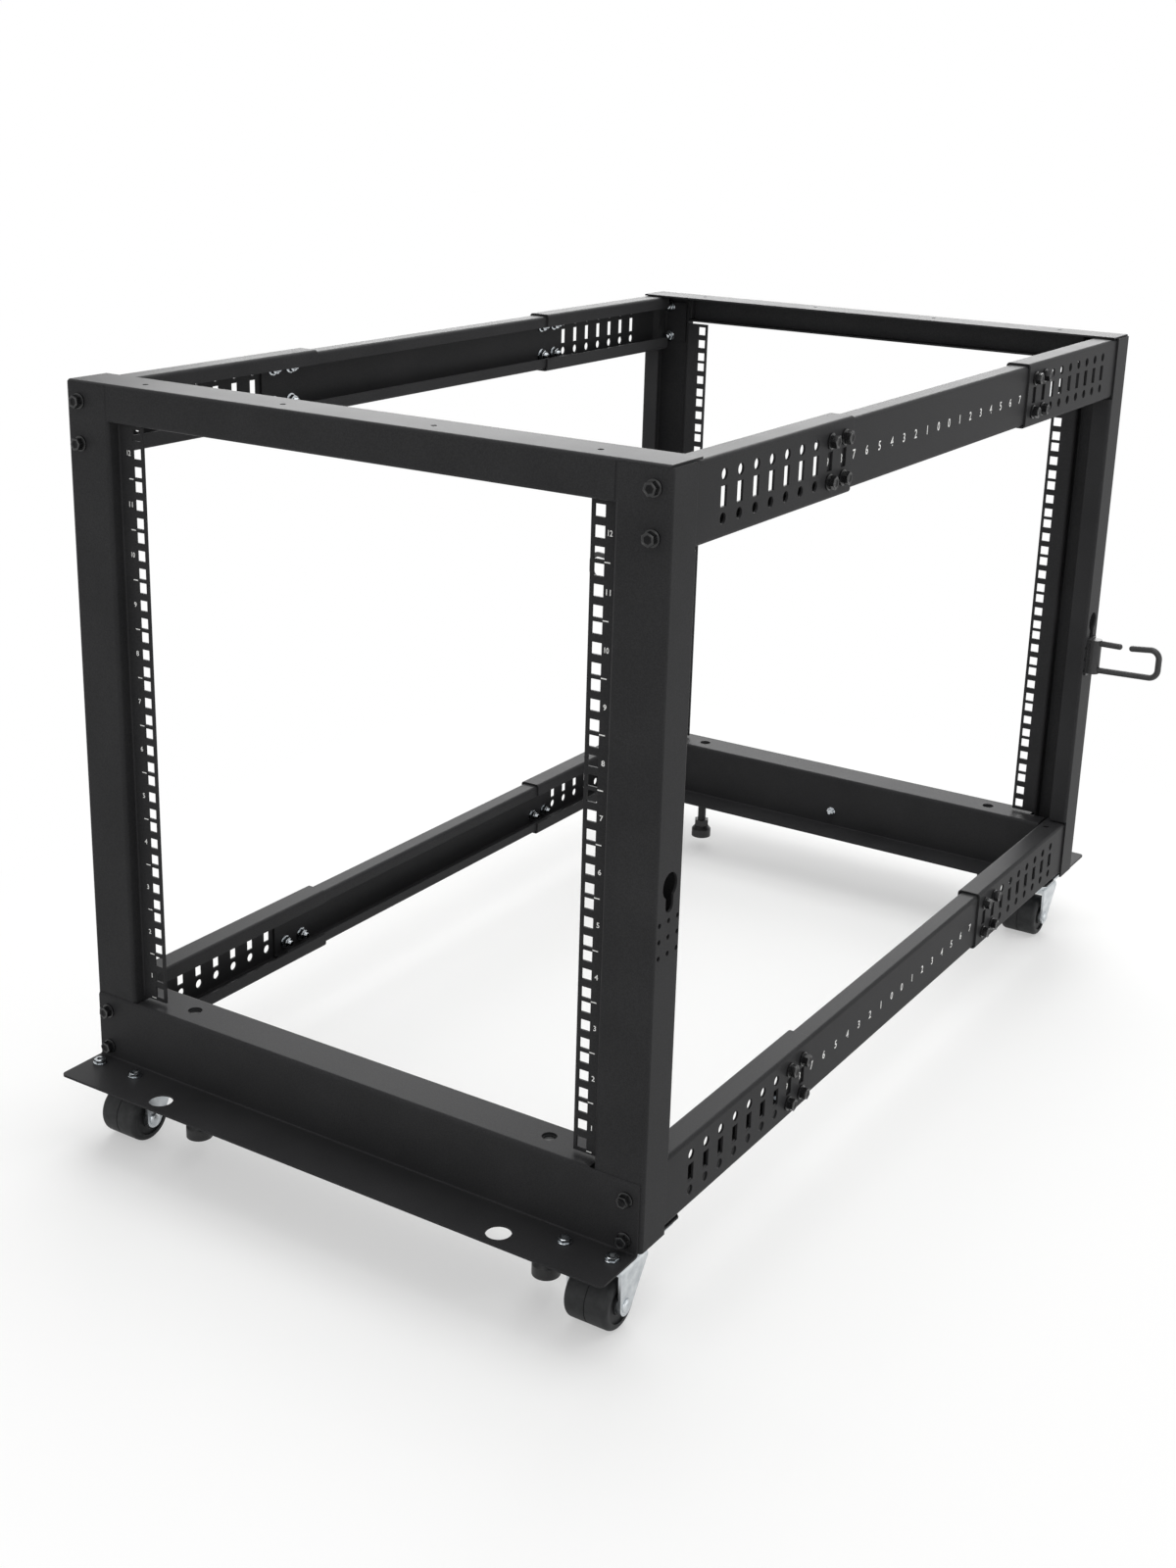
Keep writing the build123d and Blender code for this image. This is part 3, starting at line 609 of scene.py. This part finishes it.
def printed_text(words, height, widest, place, right, up):
    """Flat bold text of this height in millimetres, squeezed to a widest width, centred on a place."""
    bpy.ops.object.select_all(action="DESELECT")
    bpy.ops.object.text_add()
    text = bpy.context.object
    text.data.body = words
    text.data.align_x = "CENTER"
    text.data.align_y = "CENTER"
    text.data.resolution_u = 3
    text.data.offset = BOLDER
    bpy.ops.object.convert(target="MESH")
    text = bpy.context.object
    low = [min(v.co[i] for v in text.data.vertices) for i in range(3)]
    high = [max(v.co[i] for v in text.data.vertices) for i in range(3)]
    size = height * MM / (high[1] - low[1])
    squeeze = min(1.0, widest * MM / size / (high[0] - low[0]))
    centre = Vector([(a + b) / 2 for a, b in zip(low, high)])
    turn = facing(right, up)
    scale = Matrix.Diagonal((size * squeeze, size, size, 1))
    text.matrix_world = Matrix.Translation(Vector(place) * MM) @ turn @ scale @ Matrix.Translation(-centre)
    settle(text)
    return text


def printed_line(length, width, place, right, up):
    """A printed bar of this length and width in millimetres, centred on a place."""
    bpy.ops.object.select_all(action="DESELECT")
    bpy.ops.mesh.primitive_plane_add(size=1)
    line = bpy.context.object
    turn = facing(right, up)
    scale = Matrix.Diagonal((length * MM, width * MM, 1, 1))
    line.matrix_world = Matrix.Translation(Vector(place) * MM) @ turn @ scale
    settle(line)
    return line


def print_piece(marks, name):
    """Join printed marks to one inked piece on the frame."""
    piece = join(marks, name)
    piece.data.materials.clear()
    piece.data.materials.append(INK)
    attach(piece, "frame")


# Unit numbers beside the middle holes and a tick at each unit's edge, on every rail
for corner, (side, end) in CORNERS.items():
    y = end * (RAIL_FACE_Y + PRINT_LIFT)
    right = (-end, 0, 0)
    marks = []
    for unit in range(1, UNIT_COUNT + 1):
        place = (side * NUMBER_X, y, UNIT_BASE + UNIT * (unit - 0.5))
        marks.append(printed_text(str(unit), NUMBER_HEIGHT, NUMBER_WIDEST, place, right, UP))
    for unit in range(UNIT_COUNT):
        place = (side * sum(TICK_X) / 2, y, UNIT_BASE + UNIT * unit)
        marks.append(printed_line(TICK_X[1] - TICK_X[0], TICK_WIDTH, place, right, UP))
    print_piece(marks, f"{corner}_rail_marks")

# Depth scale along each centre bar
for side_name, side in SIDES.items():
    for level, mid in LEVELS.items():
        marks = []
        right = (0, side, 0)
        for digit in range(SCALE_DIGITS):
            for y in (SCALE_START[0] - COLUMN_PITCH * digit, SCALE_START[1] + COLUMN_PITCH * digit):
                place = (side * (BAR_FACE_X + PRINT_LIFT), y, mid - SCALE_DROP)
                marks.append(printed_text(str(digit), SCALE_HEIGHT, SCALE_HEIGHT, place, right, UP))
        print_piece(marks, f"{level}_{side_name}_bar_scale")


def looking_rays(tree):
    """1 for a ray from the camera, off a gloss or through a clear piece, 0 for one that only lights."""
    rays = add_node(tree, "ShaderNodeLightPath")
    seen = add_node(
        tree, "ShaderNodeMath",
        {0: rays.outputs["Is Camera Ray"], 1: rays.outputs["Is Glossy Ray"]}, operation="MAXIMUM",
    )
    clear = add_node(
        tree, "ShaderNodeMath",
        {0: seen.outputs["Value"], 1: rays.outputs["Is Transmission Ray"]}, operation="MAXIMUM",
    )
    return clear.outputs["Value"]


# Pale studio floor that fades into a white backdrop, in metres
FLOOR_RADIUS = 14.0
FOOTPRINT = (0.30, 0.50, 0)  # half the rack's width and depth
FADE_START, FADE_END = 0.05, 0.55  # outside the footprint
FADE_LEAST = 0.40  # share of white under the rack
bpy.ops.object.select_all(action="DESELECT")
bpy.ops.mesh.primitive_circle_add(vertices=96, radius=FLOOR_RADIUS, fill_type="NGON", location=(0, 0, 0))
floor = bpy.context.object
floor.name = "studio_floor"
floor_paint, floor_tree, floor_shader, floor_place = new_material("studio_paper")
# Distance outside the rack's footprint: the paper keeps the shadow near it and turns white further out
spread = add_node(floor_tree, "ShaderNodeVectorMath", {0: floor_place}, operation="ABSOLUTE")
beyond = add_node(
    floor_tree, "ShaderNodeVectorMath", {0: spread.outputs["Vector"], 1: FOOTPRINT}, operation="SUBTRACT"
)
outside = add_node(
    floor_tree, "ShaderNodeVectorMath", {0: beyond.outputs["Vector"], 1: (0, 0, 0)}, operation="MAXIMUM"
)
reach = add_node(floor_tree, "ShaderNodeVectorMath", {0: outside.outputs["Vector"]}, operation="LENGTH")
fade = add_node(
    floor_tree, "ShaderNodeMapRange",
    {
        "Value": reach.outputs["Value"], "From Min": FADE_START, "From Max": FADE_END,
        "To Min": FADE_LEAST, "To Max": 1.0,
    },
)
floor_shader.inputs["Base Color"].default_value = hex_colour("f2f2f1")
floor_shader.inputs["Roughness"].default_value = 0.9
floor_shader.inputs["Specular IOR Level"].default_value = 0.1
white = add_node(floor_tree, "ShaderNodeEmission", {"Color": hex_colour("ffffff"), "Strength": 1.0})
blank = add_node(
    floor_tree, "ShaderNodeMath",
    {0: looking_rays(floor_tree), 1: fade.outputs["Result"]}, operation="MULTIPLY",
)
floor_mix = add_node(
    floor_tree, "ShaderNodeMixShader",
    {0: blank.outputs["Value"], 1: floor_shader.outputs["BSDF"], 2: white.outputs["Emission"]},
)
floor_tree.links.new(floor_mix.outputs["Shader"], floor_tree.nodes["Material Output"].inputs["Surface"])
floor.data.materials.append(floor_paint)

# White world for the camera and for reflections, dimmer as a light
SKY_LIGHT = 0.55
scene = bpy.context.scene
scene.view_settings.view_transform = "Standard"
world = bpy.data.worlds.new("studio")
scene.world = world
world.use_nodes = True
sky = world.node_tree
sky_level = add_node(
    sky, "ShaderNodeMapRange", {"Value": looking_rays(sky), "To Min": SKY_LIGHT, "To Max": 1.0}
)
sky.nodes["Background"].inputs["Color"].default_value = hex_colour("ffffff")
sky.links.new(sky_level.outputs["Result"], sky.nodes["Background"].inputs["Strength"])


def softbox(name, place, target, width, height, power):
    """A large soft lamp aimed at a point."""
    bpy.ops.object.select_all(action="DESELECT")
    bpy.ops.object.light_add(type="AREA", location=place)
    lamp = bpy.context.object
    lamp.name = name
    lamp.data.shape = "RECTANGLE"
    lamp.data.size = width
    lamp.data.size_y = height
    lamp.data.energy = power
    lamp.rotation_euler = (Vector(target) - Vector(place)).to_track_quat("-Z", "Y").to_euler()
    lamp.visible_camera = False


# In metres and watts
softbox("overhead_softbox", place=(0.2, 0.4, 2.6), target=(0, 0, 0.3), width=3.0, height=3.0, power=45)
softbox("back_softbox", place=(-1.8, 3.2, 1.9), target=(0, 0, 0.5), width=3.2, height=2.0, power=88)
softbox("right_softbox", place=(2.6, 0.3, 0.4), target=(0, 0, 0.0), width=1.8, height=0.8, power=5)
softbox("front_softbox", place=(0.8, -3.4, 1.6), target=(0, 0, 0.5), width=2.4, height=1.6, power=16)

# Camera at the photograph's viewing angle, in pixels, metres and degrees
FRAME_PX = (1200, 1600)
FOCAL_PX = 2024.25
CENTRE_PX = (592.64, 730.63)
SENSOR_MM = 36.0
CAMERA_PLACE = (0.98203, -1.69604, 0.97506)
CAMERA_TURN = (71.9800, -1.5095, 32.7308)
camera_data = bpy.data.cameras.new("camera")
camera = bpy.data.objects.new("camera", camera_data)
scene.collection.objects.link(camera)
camera_data.sensor_width = SENSOR_MM
camera_data.lens = FOCAL_PX * SENSOR_MM / FRAME_PX[1]
camera_data.shift_x = (FRAME_PX[0] / 2 - CENTRE_PX[0]) / FRAME_PX[1]
camera_data.shift_y = (CENTRE_PX[1] - FRAME_PX[1] / 2) / FRAME_PX[1]
camera_data.clip_end = 100.0
camera.location = CAMERA_PLACE
camera.rotation_euler = [math.radians(angle) for angle in CAMERA_TURN]
scene.camera = camera
